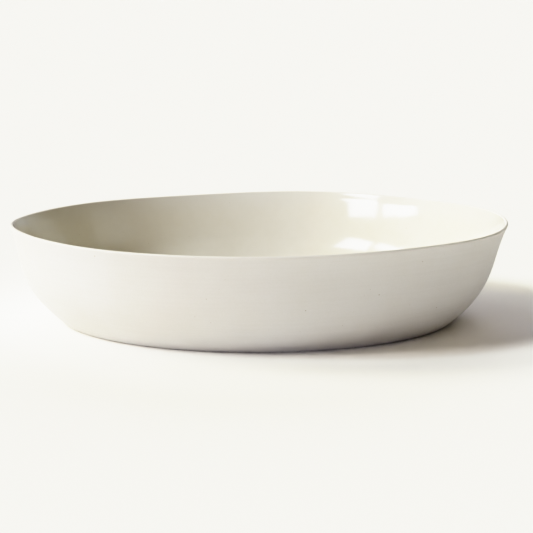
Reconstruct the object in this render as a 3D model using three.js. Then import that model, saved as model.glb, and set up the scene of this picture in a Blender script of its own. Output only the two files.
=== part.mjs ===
import * as THREE from "three";

// A wide, low porcelain serving bowl: a bare cast body, and a gloss glaze coat over its inside.
// Lengths are in millimetres and angles in degrees. Z points up, and the foot stands on z = 0.
// A turn is an angle round the bowl from +X towards +Y.

// The bowl as a whole
const RIM_RADIUS = 150; // from the axis to the outside of the lip, on average
const RIM_HEIGHT = 58.7; // from the table to the top of the lip, on average
const FOOT_RADIUS = 118; // to the edge where the wall leaves the table

// The foot and the base
const FOOT_EDGE_RADIUS = 2; // the sanded rounding between the standing ring and the wall
const STANDING_RING_WIDTH = 9;
const BASE_RECESS = 0.9; // how far the middle of the base is let in above the standing ring
const RECESS_SLOPE_WIDTH = 2.5;

// The wall
const FOOT_FLARE = 38; // the outer wall's slope above the table where it leaves the foot
const FOOT_PULL = 36; // how strongly the wall keeps to that slope
const FOOT_PULL_LEAN = -0.6; // how much the pull differs at the +X side
const RIM_FLARE = 67.8; // the outer wall's slope where it meets the lip
const RIM_FLARE_LEAN = -3.5; // how much the slope differs at the +X side
const RIM_PULL = 23.8;
const WALL_THICKNESS = 3.5;
const FLOOR_THICKNESS = 4.2;
const LIP_THICKNESS = 2;
const LIP_TAPER_DEPTH = 26; // how far below the lip the wall reaches its full thickness
const INNER_CORNER_SOFTNESS = 15; // the height over which the inner wall melts into the floor

// The glaze coat
const GLAZE_THICKNESS = 0.4;
const GLAZE_EDGE_THICKNESS = 0.12; // what is left of the coat where it ends at the lip
const GLAZE_EDGE_FADE = 5; // the depth below the lip over which the coat thins to its edge

// The hand-finished unevenness: waves that each have so many crests round the bowl.
// Swing is the crest's size in millimetres, and crest is the turn where the first one lies.
const PLAN_WAVES = [
  { crests: 2, swing: 0.6, crest: 15 },
  { crests: 3, swing: 1.1, crest: 1 },
];
const FOOT_SHARE_OF_PLAN_WAVES = 0.1;
const HEIGHT_WAVES = [
  { crests: 1, swing: 0.75, crest: -24 },
  { crests: 2, swing: 0.8, crest: 38 },
  { crests: 3, swing: 0.45, crest: -42 },
  { crests: 4, swing: 0.2, crest: 15 },
  { crests: 5, swing: 0.25, crest: 3 },
  { crests: 6, swing: 0.3, crest: 15 },
];

// How finely the curved skins are divided
const SEGMENTS_ROUND = 72;
const FOOT_EDGE_STEPS = 2;
const WALL_STEPS = 11;
const LIP_STEPS = 4;
const CORNER_STEPS = 5;

const FULL_TURN = 360;
const HALF_TURN = 180;
const LIP_RADIUS = LIP_THICKNESS / 2;
const FLOOR_TOP = BASE_RECESS + FLOOR_THICKNESS;
const RING_INNER_RADIUS = FOOT_RADIUS - STANDING_RING_WIDTH;
const RECESS_RADIUS = RING_INNER_RADIUS - RECESS_SLOPE_WIDTH;

// The unit vector at an angle above the outward direction, in the (radius, height) plane.
function heading(angle) {
  const radians = THREE.MathUtils.degToRad(angle);
  return new THREE.Vector2(Math.cos(radians), Math.sin(radians));
}

// A direction turned a quarter turn towards the table: the outward normal of a wall that rises along it.
function outwardOf(direction) {
  return new THREE.Vector2(direction.y, -direction.x);
}

function waveAt(waves, turn) {
  const swingOf = (wave) => wave.swing * heading(wave.crests * (turn - wave.crest)).x;
  return waves.reduce((total, wave) => total + swingOf(wave), 0);
}

// The middle of the lip's rounding: its outside is the rim's outline and its top is the rim's height.
function lipCentre(turn) {
  const radius = RIM_RADIUS + waveAt(PLAN_WAVES, turn) - LIP_RADIUS;
  const height = RIM_HEIGHT + waveAt(HEIGHT_WAVES, turn) - LIP_RADIUS;
  return new THREE.Vector2(radius, height);
}

function rimSlope(turn) {
  return RIM_FLARE + RIM_FLARE_LEAN * heading(turn).x;
}

// The outer wall as one curve, from the foot's sharp edge to the start of the lip's rounding.
function outerWall(turn) {
  const footRadius = FOOT_RADIUS + FOOT_SHARE_OF_PLAN_WAVES * waveAt(PLAN_WAVES, turn);
  const foot = new THREE.Vector2(footRadius, 0);
  const rimHeading = heading(rimSlope(turn));
  const rim = lipCentre(turn).addScaledVector(outwardOf(rimHeading), LIP_RADIUS);
  const footPull = FOOT_PULL + FOOT_PULL_LEAN * heading(turn).x;
  const afterFoot = foot.clone().addScaledVector(heading(FOOT_FLARE), footPull);
  const beforeRim = rim.clone().addScaledVector(rimHeading, -RIM_PULL);
  return new THREE.CubicBezierCurve(foot, afterFoot, beforeRim, rim);
}

// The distance along each side of the foot's sharp edge that its rounding takes away.
const FOOT_EDGE_TRIM = FOOT_EDGE_RADIUS * Math.tan(THREE.MathUtils.degToRad(FOOT_FLARE / 2));
// The same distance as a share of the wall's curve, which leaves the foot at three times its pull.
const WALL_START = FOOT_EDGE_TRIM / (3 * FOOT_PULL);

// The underside and outer wall, from the middle of the base to the start of the lip.
function outsideLine(turn) {
  const wall = outerWall(turn);
  const ringEdge = wall.v0.x - FOOT_EDGE_TRIM;
  const line = [
    new THREE.Vector2(0, BASE_RECESS),
    new THREE.Vector2(RECESS_RADIUS, BASE_RECESS),
    new THREE.Vector2(RING_INNER_RADIUS, 0),
    new THREE.Vector2(ringEdge, 0),
  ];
  const centre = new THREE.Vector2(ringEdge, FOOT_EDGE_RADIUS);
  for (let step = 1; step < FOOT_EDGE_STEPS; step += 1) {
    const normal = outwardOf(heading((FOOT_FLARE * step) / FOOT_EDGE_STEPS));
    line.push(centre.clone().addScaledVector(normal, FOOT_EDGE_RADIUS));
  }
  for (let step = 0; step <= WALL_STEPS; step += 1) {
    const share = THREE.MathUtils.lerp(WALL_START, 1, step / WALL_STEPS);
    line.push(wall.getPoint(share));
  }
  return line;
}

// The lip's half-round, between the outer wall's last point and the inner wall's first.
function lipLine(turn) {
  const centre = lipCentre(turn);
  const start = rimSlope(turn) - HALF_TURN / 2;
  const line = [];
  for (let step = 1; step < LIP_STEPS; step += 1) {
    const normal = heading(start + (HALF_TURN * step) / LIP_STEPS);
    line.push(centre.clone().addScaledVector(normal, LIP_RADIUS));
  }
  return line;
}

// The larger of two heights, melted together over the softness where they are close.
function softHigher(first, second, softness) {
  const nearness = Math.max(softness - Math.abs(first - second), 0) / softness;
  return Math.max(first, second) + (softness * nearness ** 3) / 6;
}

// The inside, from the lip's inner edge to the middle of the floor, lifted by a coat. The wall keeps
// its thickness square to the outside, and its continuation under the floor melts into the flat.
function insideLine(turn, coat, coatEdge) {
  const wall = outerWall(turn);
  const floor = FLOOR_TOP + coat;
  const line = [];
  for (let step = WALL_STEPS; step >= 0; step -= 1) {
    const share = step / WALL_STEPS;
    const outer = wall.getPoint(share);
    const depth = wall.v3.y - outer.y;
    const taper = THREE.MathUtils.smoothstep(depth, 0, LIP_TAPER_DEPTH);
    const clay = THREE.MathUtils.lerp(LIP_THICKNESS, WALL_THICKNESS, taper);
    const fade = THREE.MathUtils.smoothstep(depth, 0, GLAZE_EDGE_FADE);
    const layer = THREE.MathUtils.lerp(coatEdge, coat, fade);
    const inner = outer.addScaledVector(outwardOf(wall.getTangent(share)), -(clay + layer));
    line.push(inner);
  }
  const wallEnd = line[line.length - 1];
  const inward = heading(FOOT_FLARE);
  const run = (wallEnd.y - floor + INNER_CORNER_SOFTNESS) / inward.y;
  for (let step = 1; step <= CORNER_STEPS; step += 1) {
    line.push(wallEnd.clone().addScaledVector(inward, (-run * step) / CORNER_STEPS));
  }
  for (const point of line) {
    point.y = softHigher(point.y, floor, INNER_CORNER_SOFTNESS);
  }
  line.push(new THREE.Vector2(0, floor));
  return line;
}

// The closed outline of the body at a turn, from the middle of the base to the middle of the floor.
function bodyOutline(turn) {
  return [...outsideLine(turn), ...lipLine(turn), ...insideLine(turn, 0, 0)];
}

// The closed outline of the coat at a turn: up its top face, then down the body's inside.
function glazeOutline(turn) {
  const top = insideLine(turn, GLAZE_THICKNESS, GLAZE_EDGE_THICKNESS).reverse();
  return [...top, ...insideLine(turn, 0, 0)];
}

// A closed skin from an outline that starts and ends on the axis. Each outline point becomes a ring,
// the ends become poles, and every skin splits its quads the same way, so shared faces match.
function turnedSkin(outlineAt, facesReversed) {
  const outlines = [];
  for (let segment = 0; segment < SEGMENTS_ROUND; segment += 1) {
    outlines.push(outlineAt((FULL_TURN * segment) / SEGMENTS_ROUND));
  }
  const rings = outlines[0].length;
  const place = (ring, segment) => {
    const around = segment % SEGMENTS_ROUND;
    const point = outlines[around][ring];
    const out = heading((FULL_TURN * around) / SEGMENTS_ROUND);
    return new THREE.Vector3(out.x * point.x, out.y * point.x, point.y);
  };
  const corners = [];
  const face = (a, b, c) => corners.push(...(facesReversed ? [a, c, b] : [a, b, c]));
  for (let ring = 0; ring + 1 < rings; ring += 1) {
    for (let segment = 0; segment < SEGMENTS_ROUND; segment += 1) {
      const here = place(ring, segment);
      const beside = place(ring, segment + 1);
      const ahead = place(ring + 1, segment);
      const across = place(ring + 1, segment + 1);
      if (ring > 0) face(here, beside, ahead);
      if (ring + 2 < rings) face(beside, across, ahead);
    }
  }
  return new THREE.BufferGeometry().setFromPoints(corners);
}

// Bare porcelain: cool white and matt.
function barePorcelain() {
  return new THREE.MeshStandardMaterial({ color: 0xe9e6df, roughness: 0.75, metalness: 0 });
}

// Clear gloss glaze over porcelain: a warmer white.
function glossGlaze() {
  return new THREE.MeshStandardMaterial({ color: 0xe8e2d2, roughness: 0.08, metalness: 0 });
}

function porcelainBody() {
  const mesh = new THREE.Mesh(turnedSkin(bodyOutline, false), barePorcelain());
  mesh.name = "porcelain_body";
  return mesh;
}

function interiorGlaze() {
  const mesh = new THREE.Mesh(turnedSkin(glazeOutline, true), glossGlaze());
  mesh.name = "interior_glaze";
  return mesh;
}

const bowl = new THREE.Group();
bowl.name = "porcelain_serving_bowl";
bowl.add(porcelainBody(), interiorGlaze());
for (const mesh of bowl.children) {
  mesh.geometry.computeVertexNormals();
}

export default bowl;
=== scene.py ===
import math

import bpy
import numpy as np
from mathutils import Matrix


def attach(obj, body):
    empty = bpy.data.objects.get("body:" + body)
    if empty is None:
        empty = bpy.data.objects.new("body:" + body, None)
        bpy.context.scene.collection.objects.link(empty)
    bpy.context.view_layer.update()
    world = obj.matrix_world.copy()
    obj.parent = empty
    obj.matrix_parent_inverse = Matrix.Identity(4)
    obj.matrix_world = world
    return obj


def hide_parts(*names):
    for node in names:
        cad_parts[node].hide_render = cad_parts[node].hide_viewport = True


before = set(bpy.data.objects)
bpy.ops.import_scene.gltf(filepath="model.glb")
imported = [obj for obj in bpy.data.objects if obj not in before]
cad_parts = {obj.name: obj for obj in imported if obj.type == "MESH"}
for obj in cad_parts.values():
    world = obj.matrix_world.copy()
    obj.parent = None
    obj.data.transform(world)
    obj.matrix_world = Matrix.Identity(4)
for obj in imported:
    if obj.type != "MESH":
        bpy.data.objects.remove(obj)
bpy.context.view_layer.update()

# A wide, low porcelain serving bowl: a bare cast body and the gloss glaze coat over its inside.
# Lengths are in metres and angles in radians. A turn is an angle round the bowl from +X towards +Y.
MM = 0.001

# ---------------------------------------------------------------- camera

CAMERA_TARGET = np.array([5.51, 0.0, 29.98]) * MM
CAMERA_DISTANCE = 1204.9 * MM
CAMERA_ELEVATION = math.radians(8.85)
CAMERA_LENS = 133.4
CAMERA_SENSOR = 36.0


def place_camera():
    """Looks along +Y at the bowl, from a little above it."""
    data = bpy.data.cameras.new("bowl_camera")
    data.lens = CAMERA_LENS
    data.sensor_width = CAMERA_SENSOR
    data.clip_start = 0.01
    data.clip_end = 100.0
    camera = bpy.data.objects.new("bowl_camera", data)
    bpy.context.scene.collection.objects.link(camera)
    back = np.array([0.0, -math.cos(CAMERA_ELEVATION), math.sin(CAMERA_ELEVATION)])
    camera.location = CAMERA_TARGET + CAMERA_DISTANCE * back
    camera.rotation_euler = (math.pi / 2 - CAMERA_ELEVATION, 0.0, 0.0)
    bpy.context.scene.camera = camera


place_camera()

# ---------------------------------------------------------------- the bowl's sizes

RIM_RADIUS = 150.0 * MM
RIM_HEIGHT = 58.7 * MM
FOOT_RADIUS = 118.0 * MM
FOOT_EDGE_RADIUS = 2.0 * MM
STANDING_RING_WIDTH = 9.0 * MM
BASE_RECESS = 0.9 * MM
RECESS_SLOPE_WIDTH = 2.5 * MM
FOOT_FLARE = math.radians(38.0)
FOOT_PULL = 36.0 * MM
FOOT_PULL_LEAN = -0.6 * MM
RIM_FLARE = math.radians(67.8)
RIM_FLARE_LEAN = math.radians(-3.5)
RIM_PULL = 23.8 * MM
WALL_THICKNESS = 3.5 * MM
FLOOR_THICKNESS = 4.2 * MM
LIP_THICKNESS = 2.0 * MM
LIP_TAPER_DEPTH = 26.0 * MM
INNER_CORNER_SOFTNESS = 15.0 * MM
GLAZE_THICKNESS = 0.4 * MM
GLAZE_EDGE_THICKNESS = 0.12 * MM
GLAZE_EDGE_FADE = 5.0 * MM

# The hand-finished unevenness: crests round the bowl, swing, and the turn of the first crest.
PLAN_WAVES = (
    (2, 0.6 * MM, math.radians(15)),
    (3, 1.1 * MM, math.radians(1)),
)
FOOT_SHARE_OF_PLAN_WAVES = 0.1
HEIGHT_WAVES = (
    (1, 0.75 * MM, math.radians(-24)),
    (2, 0.8 * MM, math.radians(38)),
    (3, 0.45 * MM, math.radians(-42)),
    (4, 0.2 * MM, math.radians(15)),
    (5, 0.25 * MM, math.radians(3)),
    (6, 0.3 * MM, math.radians(15)),
)

# The skins are rounder than the CAD's, so they are held this far inside its corners.
ROUNDING_ALLOWANCE = 0.13 * MM

LIP_RADIUS = LIP_THICKNESS / 2
FLOOR_TOP = BASE_RECESS + FLOOR_THICKNESS
RING_INNER_RADIUS = FOOT_RADIUS - STANDING_RING_WIDTH
RECESS_RADIUS = RING_INNER_RADIUS - RECESS_SLOPE_WIDTH
FOOT_EDGE_TRIM = FOOT_EDGE_RADIUS * math.tan(FOOT_FLARE / 2)
WALL_START = FOOT_EDGE_TRIM / (3 * FOOT_PULL)

TURNS_ROUND = 360
BASE_ROWS = 10
RECESS_ROWS = 8
RING_ROWS = 4
FOOT_EDGE_ROWS = 6
WALL_ROWS = 56
LIP_ROWS = 12
CORNER_ROWS = 14
FLOOR_ROWS = 10
CENTRE_RADIUS = 1.5 * MM

# How far each painted share reaches: down from the lip, up from the table or the floor, or outwards.
LIP_POLISH_AND_HIGHLIGHT_DEPTH = 2.5 * MM
FOOT_PATCH_HEIGHT = 3 * MM
THIN_GLAZE_DEPTH = 12 * MM
POOL_HEIGHT = 3 * MM
POOL_SPREAD = 9 * MM
POOL_START_RADIUS = 85 * MM
POOL_FADE = 20 * MM
WORN_HEIGHT = 4 * MM
WORN_FADE = 3 * MM


def waves(table, turn):
    """Sum of swing times the cosine of crests times the turn past the first crest."""
    return sum(swing * np.cos(crests * (turn - crest)) for crests, swing, crest in table)


def smooth_step(share):
    """3 s squared minus 2 s cubed, of a share held between 0 and 1."""
    held = np.clip(share, 0.0, 1.0)
    return held * held * (3 - 2 * held)


def lip_centre(turn):
    """The middle of the lip's rounding: the rim's mean size plus its waves, less the lip's radius."""
    radius = RIM_RADIUS + waves(PLAN_WAVES, turn) - LIP_RADIUS - ROUNDING_ALLOWANCE
    height = RIM_HEIGHT + waves(HEIGHT_WAVES, turn) - LIP_RADIUS - ROUNDING_ALLOWANCE
    return radius, height


def rim_slope(turn):
    """The wall's slope at the lip: its mean plus a lean that goes with the cosine of the turn."""
    return RIM_FLARE + RIM_FLARE_LEAN * np.cos(turn)


def outer_wall(turn, share):
    """The outer wall at a turn and a share of its way up: a cubic Bezier curve from the foot's edge,
    which it leaves at the foot flare, to the lip, which it meets at the rim slope.
    Returns radius, height and the unit outward normal's radius and height."""
    slope = rim_slope(turn)
    radius, height = lip_centre(turn)
    pull = FOOT_PULL + FOOT_PULL_LEAN * np.cos(turn)
    foot = FOOT_RADIUS + FOOT_SHARE_OF_PLAN_WAVES * waves(PLAN_WAVES, turn)
    ends = (
        (foot, 0 * foot),
        (foot + pull * math.cos(FOOT_FLARE), pull * math.sin(FOOT_FLARE)),
        (
            radius + LIP_RADIUS * np.sin(slope) - RIM_PULL * np.cos(slope),
            height - LIP_RADIUS * np.cos(slope) - RIM_PULL * np.sin(slope),
        ),
        (radius + LIP_RADIUS * np.sin(slope), height - LIP_RADIUS * np.cos(slope)),
    )
    rest = 1 - share
    weights = (rest**3, 3 * rest**2 * share, 3 * rest * share**2, share**3)
    point = [sum(w * end[axis] for w, end in zip(weights, ends)) for axis in (0, 1)]
    rates = (rest**2, 2 * rest * share, share**2)
    run, rise = [
        sum(w * (ends[k + 1][axis] - ends[k][axis]) for k, w in enumerate(rates))
        for axis in (0, 1)
    ]
    length = np.hypot(run, rise)
    return point[0], point[1], rise / length, -run / length


def soft_higher(first, second, softness):
    """The higher of two heights, raised where they are close by the cube of their nearness."""
    nearness = np.maximum(softness - np.abs(first - second), 0) / softness
    return np.maximum(first, second) + softness * nearness**3 / 6


def rows_of(start, end, count, last=False):
    """Evenly spaced shares as a column, with the end left out unless it is the last."""
    return np.linspace(start, end, count + (1 if last else 0), endpoint=last)[:, None]


def outside_rows(turn):
    """The underside and the outer wall: the recessed base, an s-curve down to the standing ring,
    the ring, the arc of its sanded edge, and the wall's curve."""
    foot = outer_wall(turn, 0.0)[0] - FOOT_EDGE_TRIM
    flat = np.ones_like(turn)
    base = rows_of(CENTRE_RADIUS, RECESS_RADIUS, BASE_ROWS) * flat
    slope = rows_of(0, 1, RECESS_ROWS)
    recess_radius = (RECESS_RADIUS + slope * RECESS_SLOPE_WIDTH) * flat
    recess_height = BASE_RECESS * (1 - smooth_step(slope)) * flat
    ring = rows_of(0, 1, RING_ROWS)
    ring_radius = RING_INNER_RADIUS + ring * (foot - RING_INNER_RADIUS)
    bend = rows_of(0, FOOT_FLARE, FOOT_EDGE_ROWS)
    edge_radius = foot + FOOT_EDGE_RADIUS * np.sin(bend)
    edge_height = FOOT_EDGE_RADIUS * (1 - np.cos(bend)) * flat
    wall = outer_wall(turn, rows_of(WALL_START, 1, WALL_ROWS))
    radius = [base, recess_radius, ring_radius, edge_radius, wall[0]]
    height = [0 * base + BASE_RECESS, recess_height, 0 * ring_radius, edge_height, wall[1]]
    return np.vstack(radius), np.vstack(height)


def lip_rows(turn):
    """Half a circle about the lip's middle, from the outer wall's normal to the inner wall's."""
    radius, height = lip_centre(turn)
    angle = rim_slope(turn) - math.pi / 2 + rows_of(0, math.pi, LIP_ROWS)
    return radius + LIP_RADIUS * np.cos(angle), height + LIP_RADIUS * np.sin(angle)


def inside_rows(turn, coat, coat_edge):
    """The inner wall, floor and corner, lifted by a coat: the outer wall moved in along its normal by
    the clay's and the coat's thickness, carried on straight under the floor, and melted into it."""
    share = rows_of(1, 0, WALL_ROWS, last=True)
    radius, height, out, up = outer_wall(turn, share)
    depth = height[0] - height
    clay_taper = smooth_step(depth / LIP_TAPER_DEPTH)
    clay = LIP_THICKNESS + (WALL_THICKNESS - LIP_THICKNESS) * clay_taper
    layer = coat_edge + (coat - coat_edge) * smooth_step(depth / GLAZE_EDGE_FADE)
    radius, height = radius - out * (clay + layer), height - up * (clay + layer)
    floor = FLOOR_TOP + coat
    run = (height[-1] - floor + INNER_CORNER_SOFTNESS) / math.sin(FOOT_FLARE)
    under = rows_of(0, 1, CORNER_ROWS, last=True)[1:] * run
    radius = np.vstack([radius, radius[-1] - under * math.cos(FOOT_FLARE)])
    height = np.vstack([height, height[-1] - under * math.sin(FOOT_FLARE)])
    height = soft_higher(height, floor, INNER_CORNER_SOFTNESS)
    middle = rows_of(1, 0, FLOOR_ROWS, last=True)[1:]
    floor_radius = CENTRE_RADIUS + middle * (radius[-1] - CENTRE_RADIUS)
    radius = np.vstack([radius, floor_radius])
    height = np.vstack([height, 0 * floor_radius + floor])
    return radius, height


def turns_round():
    """Evenly spaced turns, as a row."""
    return np.linspace(0, 2 * math.pi, TURNS_ROUND, endpoint=False)[None, :]


def closed_skin(name, radius, height, creases=()):
    """A skin from rows of rings: each row is a ring at its radius and height, neighbouring rings are
    joined by four-sided faces, and each end closes with a fan to a point on the axis. The shading is
    smooth but for the rings of the creased rows."""
    rows, count = radius.shape
    turn = turns_round()
    rings = np.stack([radius * np.cos(turn), radius * np.sin(turn), height], -1)
    poles = np.array([[0, 0, height[0].mean()], [0, 0, height[-1].mean()]])
    points = np.vstack([rings.reshape(-1, 3), poles])
    index = np.arange(rows * count).reshape(rows, count)
    beside = np.roll(index, -1, axis=1)
    quads = np.stack([index[:-1], beside[:-1], beside[1:], index[1:]], -1).reshape(-1, 4)
    first, last = rows * count, rows * count + 1
    start = np.stack([beside[0], index[0], np.full(count, first)], -1)
    end = np.stack([index[-1], beside[-1], np.full(count, last)], -1)
    mesh = bpy.data.meshes.new(name)
    mesh.from_pydata(points.tolist(), [], quads.tolist() + start.tolist() + end.tolist())
    mesh.polygons.foreach_set("use_smooth", np.ones(len(mesh.polygons), bool))
    mesh.update()
    edges = np.empty(2 * len(mesh.edges), np.int32)
    mesh.edges.foreach_get("vertices", edges)
    row = edges.reshape(-1, 2) // count
    sharp = (row[:, 0] == row[:, 1]) & np.isin(row[:, 0], creases)
    mesh.attributes.new("sharp_edge", "BOOLEAN", "EDGE").data.foreach_set("value", sharp)
    piece = bpy.data.objects.new(name, mesh)
    bpy.context.scene.collection.objects.link(piece)
    return piece


def paint(piece, name, values):
    """A number at each point of the skin, row by row, with the poles taking their ring's mean."""
    attribute = piece.data.attributes.new(name, "FLOAT", "POINT")
    poles = [values[0].mean(), values[-1].mean()]
    attribute.data.foreach_set("value", np.append(values.ravel(), poles).astype(np.float32))


def row_distance(radius, height):
    """The distance along each turn's outline from its first row."""
    steps = np.hypot(np.diff(radius, axis=0), np.diff(height, axis=0))
    return np.vstack([np.zeros_like(radius[:1]), np.cumsum(steps, axis=0)])


def cast_bowl():
    """The bare porcelain body: underside, outer wall, lip and inside as one closed skin."""
    turn = turns_round()
    parts = [outside_rows(turn), lip_rows(turn), inside_rows(turn, 0.0, 0.0)]
    radius = np.vstack([part[0] for part in parts])
    height = np.vstack([part[1] for part in parts])
    piece = closed_skin("cast_porcelain_bowl", radius, height)
    rim = lip_centre(turn)[1] + LIP_RADIUS
    paint(piece, "outline_distance", row_distance(radius, height))
    paint(piece, "lip_nearness", np.clip(1 - (rim - height) / LIP_POLISH_AND_HIGHLIGHT_DEPTH, 0, 1))
    paint(piece, "foot_nearness", np.clip(1 - height / FOOT_PATCH_HEIGHT, 0, 1))
    return piece


def liner_glaze():
    """The gloss coat on the inside: its underside, its thin crisp edge below the lip and its face."""
    turn = turns_round()
    under = inside_rows(turn, 0.0, 0.0)
    face = inside_rows(turn, GLAZE_THICKNESS, GLAZE_EDGE_THICKNESS)
    radius = np.vstack([under[0][::-1], face[0]])
    height = np.vstack([under[1][::-1], face[1]])
    edge = len(under[0])
    piece = closed_skin("gloss_liner_glaze", radius, height, creases=(edge - 1, edge))
    rim = lip_centre(turn)[1]
    corner = 1 - np.abs(height - FLOOR_TOP - POOL_HEIGHT) / POOL_SPREAD
    corner = np.clip(corner, 0, 1) * smooth_step((radius - POOL_START_RADIUS) / POOL_FADE)
    paint(piece, "lip_nearness", np.clip(1 - (rim - height) / THIN_GLAZE_DEPTH, 0, 1))
    paint(piece, "glaze_pooling", corner)
    paint(piece, "floor_wear", smooth_step((FLOOR_TOP + WORN_HEIGHT - height) / WORN_FADE))
    return piece


# ---------------------------------------------------------------- materials

# The colour mix node's sockets, whose names repeat.
MIX_SHARE, MIX_FIRST, MIX_SECOND, MIX_COLOUR = 0, 6, 7, 2


def colour(red, green, blue):
    """An opaque colour in linear light."""
    return (red, green, blue, 1.0)


PORCELAIN_WARM = colour(0.756, 0.734, 0.712)
PORCELAIN_COOL = colour(0.782, 0.767, 0.760)
GRAIN_SHADE = colour(0.64, 0.62, 0.59)
RING_SHADE = colour(0.66, 0.64, 0.61)
IRON_SPECK = colour(0.30, 0.22, 0.15)
# The lip colour is a painted highlight: lighter and warmer than the body, for the lit top of the lip.
LIP_PAINTED_HIGHLIGHT = colour(0.86, 0.82, 0.75)
# A darker tone for the patches next to the table.
FOOT_PATCH_TONE = colour(0.42, 0.38, 0.33)

GLAZE_DEEP = colour(0.768, 0.735, 0.648)
GLAZE_PALE = colour(0.792, 0.768, 0.694)
GLAZE_MOTTLE = colour(0.70, 0.665, 0.56)
GLAZE_POOLED = colour(0.69, 0.655, 0.53)
GLAZE_THIN = colour(0.752, 0.742, 0.712)
PINHOLE = colour(0.42, 0.36, 0.27)
CUTLERY_GREY = colour(0.47, 0.46, 0.44)


class Finish:
    """A procedural finish: a Principled shader and short ways to add the nodes that feed it."""

    def __init__(self, name):
        self.material = bpy.data.materials.new(name)
        self.material.use_nodes = True
        self.nodes = self.material.node_tree.nodes
        self.links = self.material.node_tree.links
        self.shader = self.nodes["Principled BSDF"]
        self.place = self.nodes.new("ShaderNodeTexCoord").outputs["Object"]

    def feed(self, socket, value):
        """Links an output to a socket, or sets the socket to a plain value."""
        if isinstance(value, bpy.types.NodeSocket):
            self.links.new(value, socket)
        else:
            socket.default_value = value

    def set(self, **values):
        """Sets the shader's own sockets by name, with underscores for spaces."""
        for name, value in values.items():
            self.feed(self.shader.inputs[name.replace("_", " ")], value)

    def attribute(self, name):
        """A share painted on the piece."""
        node = self.nodes.new("ShaderNodeAttribute")
        node.attribute_name = name
        return node.outputs["Fac"]

    def noise(self, scale, detail, roughness=0.5, place=None):
        """Fractal noise; the scale is in features a metre."""
        node = self.nodes.new("ShaderNodeTexNoise")
        self.feed(node.inputs["Vector"], place or self.place)
        self.feed(node.inputs["Scale"], scale)
        self.feed(node.inputs["Detail"], detail)
        self.feed(node.inputs["Roughness"], roughness)
        return node.outputs["Fac"]

    def cells(self, scale):
        """Distance to the nearest of scattered points; the scale is in points a metre."""
        node = self.nodes.new("ShaderNodeTexVoronoi")
        self.feed(node.inputs["Vector"], self.place)
        self.feed(node.inputs["Scale"], scale)
        return node.outputs["Distance"]

    def math(self, how, first, second=0.0, held=False):
        """One sum of two numbers, held between 0 and 1 if asked."""
        node = self.nodes.new("ShaderNodeMath")
        node.operation = how
        node.use_clamp = held
        self.feed(node.inputs[0], first)
        self.feed(node.inputs[1], second)
        return node.outputs[0]

    def spread(self, value, low, high, to_low=0.0, to_high=1.0):
        """Carries one range of a number smoothly onto another, and holds it at the ends."""
        node = self.nodes.new("ShaderNodeMapRange")
        node.interpolation_type = "SMOOTHSTEP"
        self.feed(node.inputs["Value"], value)
        self.feed(node.inputs["From Min"], low)
        self.feed(node.inputs["From Max"], high)
        self.feed(node.inputs["To Min"], to_low)
        self.feed(node.inputs["To Max"], to_high)
        return node.outputs["Result"]

    def blend(self, share, first, second):
        """Mixes two colours by a share."""
        node = self.nodes.new("ShaderNodeMix")
        node.data_type = "RGBA"
        self.feed(node.inputs[MIX_SHARE], share)
        self.feed(node.inputs[MIX_FIRST], first)
        self.feed(node.inputs[MIX_SECOND], second)
        return node.outputs[MIX_COLOUR]

    def bump(self, height, distance, normal=None):
        """Raises the surface by a height from 0 to 1 times a distance in metres."""
        node = self.nodes.new("ShaderNodeBump")
        self.feed(node.inputs["Height"], height)
        self.feed(node.inputs["Distance"], distance)
        self.feed(node.inputs["Strength"], 1.0)
        if normal is not None:
            self.feed(node.inputs["Normal"], normal)
        return node.outputs["Normal"]

    def streaks(self, turn, fine, long, width):
        """Thin scratches that run one way: where a noise, stretched along a turned direction, passes
        through its middle value, kept in scattered patches."""
        node = self.nodes.new("ShaderNodeMapping")
        self.feed(node.inputs["Vector"], self.place)
        self.feed(node.inputs["Rotation"], (0.0, 0.0, turn))
        self.feed(node.inputs["Scale"], (long, fine, long))
        run = self.noise(1.0, 1.0, place=node.outputs[0])
        off = self.math("ABSOLUTE", self.math("SUBTRACT", run, 0.5))
        patch = self.spread(self.noise(38.0 + 5 * turn, 2.0), 0.52, 0.62)
        return self.math("MULTIPLY", self.spread(off, 0.0, width, 1.0, 0.0), patch)

    def wipes(self, scale, distortion):
        """Fine rings along the outline's length, as a sponge leaves on a turning bowl."""
        node = self.nodes.new("ShaderNodeTexNoise")
        node.noise_dimensions = "2D"
        join = self.nodes.new("ShaderNodeCombineXYZ")
        drift = self.math("MULTIPLY", self.noise(12.0, 2.0), distortion)
        along = self.math("MULTIPLY", self.attribute("outline_distance"), scale)
        self.feed(join.inputs[0], along)
        self.feed(join.inputs[1], drift)
        self.feed(node.inputs["Vector"], join.outputs[0])
        self.feed(node.inputs["Scale"], 1.0)
        self.feed(node.inputs["Detail"], 3.0)
        return node.outputs["Fac"]


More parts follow.
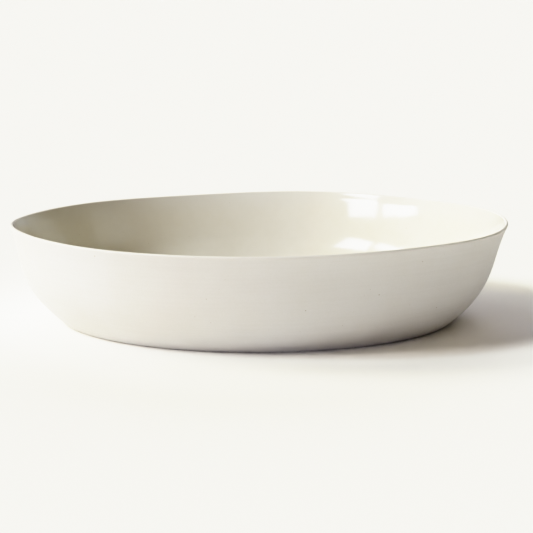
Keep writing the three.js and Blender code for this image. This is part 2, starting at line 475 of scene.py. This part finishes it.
def bare_porcelain():
    """Matt unglazed porcelain: a silky fine grain, faint sponge rings, soft clouds of warmer and
    cooler white, iron specks, pinholes, a polished lip painted lighter and warmer as a highlight,
    and darker, rougher patches where it stands on the table."""
    finish = Finish("bare_porcelain")
    clouds = finish.spread(finish.noise(16.0, 4.0, 0.6), 0.32, 0.68)
    tone = finish.blend(clouds, PORCELAIN_WARM, PORCELAIN_COOL)
    grain = finish.noise(1100.0, 4.0, 0.65)
    tone = finish.blend(finish.spread(grain, 0.30, 0.70, 0.0, 0.16), tone, GRAIN_SHADE)
    rings = finish.wipes(620.0, 5.0)
    tone = finish.blend(finish.spread(rings, 0.42, 0.66, 0.0, 0.10), tone, RING_SHADE)
    speck = finish.spread(finish.cells(170.0), 0.045, 0.085, 1.0, 0.0)
    rare = finish.spread(finish.noise(60.0, 1.0), 0.57, 0.63)
    speck = finish.math("MULTIPLY", speck, rare)
    tone = finish.blend(finish.math("MULTIPLY", speck, 0.55), tone, IRON_SPECK)
    holes = finish.spread(finish.cells(310.0), 0.04, 0.10, 1.0, 0.0)
    holes = finish.math("MULTIPLY", holes, finish.spread(finish.noise(33.0, 1.0), 0.5, 0.6))
    # Painted highlight: the lip band is mixed towards a lighter, warmer white. The same share also
    # lowers the roughness of the polished lip.
    lip = finish.attribute("lip_nearness")
    tone = finish.blend(finish.math("MULTIPLY", lip, 0.45), tone, LIP_PAINTED_HIGHLIGHT)
    # Darker, rougher patches: strongest on the standing ring and gone a little over a millimetre up.
    foot_patches = finish.spread(finish.noise(220.0, 5.0, 0.65), 0.46, 0.62)
    foot = finish.spread(finish.attribute("foot_nearness"), 0.55, 1.0)
    foot_patches = finish.math("MULTIPLY", foot_patches, foot)
    tone = finish.blend(finish.math("MULTIPLY", foot_patches, 0.45), tone, FOOT_PATCH_TONE)
    sheen = finish.spread(finish.noise(45.0, 5.0, 0.6), 0.3, 0.7, 0.60, 0.80)
    sheen = finish.math("SUBTRACT", sheen, finish.math("MULTIPLY", lip, 0.24))
    sheen = finish.math("ADD", sheen, finish.math("MULTIPLY", foot_patches, 0.15), held=True)
    finish.set(Base_Color=tone, Roughness=sheen, IOR=1.46)
    relief = finish.bump(rings, 0.05 * MM)
    relief = finish.bump(finish.noise(50.0, 2.0), 0.20 * MM, normal=relief)
    relief = finish.bump(grain, 0.03 * MM, normal=relief)
    finish.set(Normal=finish.bump(holes, -0.05 * MM, normal=relief))
    return finish.material


def gloss_glaze():
    """Clear gloss glaze over porcelain: a warm white that deepens where the glaze pooled and pales
    where it thins, a hand-made swell and a finer orange peel, pinholes, and grey cutlery marks that
    dull the floor's gloss."""
    finish = Finish("gloss_glaze")
    clouds = finish.spread(finish.noise(11.0, 4.0, 0.6), 0.32, 0.68)
    tone = finish.blend(clouds, GLAZE_DEEP, GLAZE_PALE)
    mottle = finish.spread(finish.noise(150.0, 4.0, 0.6), 0.35, 0.70, 0.0, 0.14)
    tone = finish.blend(mottle, tone, GLAZE_MOTTLE)
    pool = finish.attribute("glaze_pooling")
    tone = finish.blend(finish.math("MULTIPLY", pool, 0.38), tone, GLAZE_POOLED)
    lip = finish.attribute("lip_nearness")
    tone = finish.blend(finish.math("MULTIPLY", lip, 0.5), tone, GLAZE_THIN)
    pits = finish.spread(finish.cells(150.0), 0.035, 0.065, 1.0, 0.0)
    pits = finish.math("MULTIPLY", pits, finish.spread(finish.noise(40.0, 1.0), 0.58, 0.64))
    tone = finish.blend(finish.math("MULTIPLY", pits, 0.5), tone, PINHOLE)
    worn = finish.attribute("floor_wear")
    marks = finish.math(
        "MAXIMUM",
        finish.streaks(0.5, 420.0, 16.0, 0.018),
        finish.streaks(1.9, 360.0, 13.0, 0.018),
    )
    marks = finish.math("MULTIPLY", marks, worn)
    tone = finish.blend(finish.math("MULTIPLY", marks, 0.16), tone, CUTLERY_GREY)
    gloss = finish.spread(finish.noise(30.0, 4.0), 0.3, 0.7, 0.085, 0.13)
    gloss = finish.math("ADD", gloss, finish.math("MULTIPLY", marks, 0.16))
    gloss = finish.math("ADD", gloss, finish.math("MULTIPLY", worn, 0.02))
    gloss = finish.math("ADD", gloss, finish.math("MULTIPLY", pits, 0.3), held=True)
    finish.set(Base_Color=tone, Roughness=gloss, IOR=1.52)
    relief = finish.bump(finish.noise(24.0, 1.0, 0.4), 1.1 * MM)
    relief = finish.bump(finish.noise(230.0, 2.0, 0.4), 0.018 * MM, normal=relief)
    finish.set(Normal=finish.bump(pits, -0.06 * MM, normal=relief))
    return finish.material


# ---------------------------------------------------------------- the pieces

bowl = cast_bowl()
bowl.data.materials.append(bare_porcelain())
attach(bowl, "root")
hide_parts("porcelain_body")

liner = liner_glaze()
liner.data.materials.append(gloss_glaze())
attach(liner, "root")
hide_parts("interior_glaze")

# ---------------------------------------------------------------- floor and light

FLOOR_REACH = 30.0
FLOOR_RINGS = 24
FLOOR_SPOKES = 96
FLOOR_COLOUR = colour(0.93, 0.922, 0.90)

# The scene's brightness of the lit floor; the backdrop matches it up to a little above the horizon.
LIT_FLOOR = colour(1.387, 1.323, 1.116)
DIM_ROOM = colour(0.26, 0.26, 0.25)
BACKDROP_TOP = math.sin(math.radians(8))
BACKDROP_END = math.sin(math.radians(16))

# Far lamps, even over the whole floor: azimuth from +X, height and spread in degrees, and colour.
FAR_LAMPS = {
    "window_right_pane": (193, 44, 10, (0.434, 0.483, 0.470)),
    "window_left_pane": (206, 38, 12, (0.510, 0.480, 0.453)),
    "side_window": (160, 30, 24, (0.711, 0.652, 0.422)),
    "low_front_left_sky": (238, 11, 40, (0.186, 0.172, 0.200)),
    "low_back_sky": (90, 12, 40, (0.661, 0.679, 0.810)),
    "high_back_left_sky": (135, 50, 40, (0.263, 0.265, 0.250)),
    "high_right_sky": (0, 60, 50, (0.125, 0.101, 0.060)),
}

# What the glaze mirrors: azimuth, height, width and rise of each pane in degrees, and brightness.
MIRRORED_PANES = {
    "mirrored_left_pane": (210.6, 33.0, 13.6, 13.0, 16.0),
    "mirrored_right_pane": (188.8, 29.5, 16.6, 8.0, 15.0),
    "mirrored_backdrop": (52.0, 6.5, 56.0, 15.0, 0.55),
    "mirrored_far_wall": (353.0, 23.5, 24.0, 7.0, 0.8),
}
PANE_TINT = (0.92, 0.97, 1.0)
PANE_DISTANCE = 3.0
PANE_AIM = np.array([80.0, 115.0, 50.0]) * MM


def pale_floor():
    """A flat disc of rings whose radius grows by the square of the row."""
    radius = FLOOR_REACH * rows_of(0, 1, FLOOR_RINGS, last=True)[1:] ** 2
    turn = np.linspace(0, 2 * math.pi, FLOOR_SPOKES, endpoint=False)[None, :]
    rings = np.stack([radius * np.cos(turn), radius * np.sin(turn), 0 * radius * turn], -1)
    points = np.vstack([rings.reshape(-1, 3), [[0, 0, 0]]])
    index = np.arange(len(points) - 1).reshape(len(radius), FLOOR_SPOKES)
    beside = np.roll(index, -1, axis=1)
    quads = np.stack([index[:-1], index[1:], beside[1:], beside[:-1]], -1).reshape(-1, 4)
    middle = np.full(FLOOR_SPOKES, len(points) - 1)
    fan = np.stack([middle, index[0], beside[0]], -1)
    mesh = bpy.data.meshes.new("studio_floor")
    mesh.from_pydata(points.tolist(), [], quads.tolist() + fan.tolist())
    floor = bpy.data.objects.new("studio_floor", mesh)
    bpy.context.scene.collection.objects.link(floor)
    finish = Finish("pale_floor")
    finish.set(Base_Color=FLOOR_COLOUR, Roughness=1.0, Specular_IOR_Level=0.0)
    mesh.materials.append(finish.material)
    return floor


def backdrop():
    """What the camera sees past the floor: the lit floor's brightness up to a little above the
    horizon, then a smooth step to a dim room. It lights nothing, and nothing mirrors it."""
    world = bpy.data.worlds.new("studio_backdrop")
    bpy.context.scene.world = world
    world.use_nodes = True
    nodes, links = world.node_tree.nodes, world.node_tree.links
    direction = nodes.new("ShaderNodeTexCoord").outputs["Generated"]
    split = nodes.new("ShaderNodeSeparateXYZ")
    links.new(direction, split.inputs[0])
    rise = nodes.new("ShaderNodeMapRange")
    rise.interpolation_type = "SMOOTHSTEP"
    rise.inputs["From Min"].default_value = BACKDROP_TOP
    rise.inputs["From Max"].default_value = BACKDROP_END
    links.new(split.outputs["Z"], rise.inputs["Value"])
    mix = nodes.new("ShaderNodeMix")
    mix.data_type = "RGBA"
    links.new(rise.outputs["Result"], mix.inputs[MIX_SHARE])
    mix.inputs[MIX_FIRST].default_value = LIT_FLOOR
    mix.inputs[MIX_SECOND].default_value = DIM_ROOM
    links.new(mix.outputs[MIX_COLOUR], nodes["Background"].inputs["Color"])
    world.cycles_visibility.diffuse = False
    world.cycles_visibility.glossy = False


def far_lamp(name, azimuth, height, spread, tint):
    """A lamp so far away that its light is parallel, softened by its spread."""
    data = bpy.data.lights.new(name, "SUN")
    data.energy = math.pi * max(tint)
    data.color = [part / max(tint) for part in tint]
    data.angle = math.radians(spread)
    lamp = bpy.data.objects.new(name, data)
    lamp.rotation_euler = (
        math.pi / 2 - math.radians(height), 0.0, math.radians(azimuth) + math.pi / 2
    )
    lamp.visible_glossy = False
    bpy.context.scene.collection.objects.link(lamp)


def mirrored_pane(name, azimuth, height, width, rise, brightness):
    """A bright pane that only shows as a reflection: a rectangle facing the bowl, as wide and tall
    as its angles make it at its distance."""
    data = bpy.data.lights.new(name, "AREA")
    data.shape = "RECTANGLE"
    data.color = PANE_TINT
    data.size = 2 * PANE_DISTANCE * math.tan(math.radians(width) / 2)
    data.size_y = 2 * PANE_DISTANCE * math.tan(math.radians(rise) / 2)
    data.energy = brightness * math.pi * data.size * data.size_y
    turn, up = math.radians(azimuth), math.radians(height)
    away = np.array([math.cos(turn) * math.cos(up), math.sin(turn) * math.cos(up), math.sin(up)])
    pane = bpy.data.objects.new(name, data)
    pane.location = PANE_AIM + PANE_DISTANCE * away
    pane.rotation_euler = (math.pi / 2 - up, 0.0, turn + math.pi / 2)
    pane.visible_diffuse = False
    pane.visible_camera = False
    bpy.context.scene.collection.objects.link(pane)


# The film's response: a gentle contrast, and a shoulder that eases bright light towards paper white.
FILM_WHITE = 1.6
FILM_MIDDLE = 0.5
FILM_CONTRAST = 1.3
FILM_KNEE = 0.8
FILM_RANGE = 6.0
FILM_POINTS = 28
ALL_COLOURS = 3


def film_response():
    """Display light from scene light x: W q over 1 plus q, where q is k x to the contrast's power
    and k leaves the film's middle unchanged. Above the knee, what is left up to paper
    white closes by the exponential of the overshoot. The points crowd towards the dark end."""
    steady = (FILM_MIDDLE / (FILM_WHITE - FILM_MIDDLE)) ** (1 / FILM_CONTRAST) / FILM_MIDDLE
    share = np.linspace(0, 1, FILM_POINTS) ** 2
    q = (steady * share * FILM_RANGE) ** FILM_CONTRAST
    shown = FILM_WHITE * q / (1 + q)
    room = 1 - FILM_KNEE
    over = np.maximum(shown - FILM_KNEE, 0)
    shown = np.minimum(shown, FILM_KNEE) + room * (1 - np.exp(-over / room))
    view = bpy.context.scene.view_settings
    view.view_transform = "Standard"
    view.use_curve_mapping = True
    mapping = view.curve_mapping
    mapping.white_level = (FILM_RANGE, FILM_RANGE, FILM_RANGE)
    curve = mapping.curves[ALL_COLOURS]
    curve.points[0].location = (0.0, 0.0)
    curve.points[-1].location = (1.0, float(shown[-1]))
    for place, level in zip(share[1:-1], shown[1:-1]):
        curve.points.new(float(place), float(level))
    mapping.update()


pale_floor()
backdrop()
for name, settings in FAR_LAMPS.items():
    far_lamp(name, *settings)
for name, settings in MIRRORED_PANES.items():
    mirrored_pane(name, *settings)
film_response()
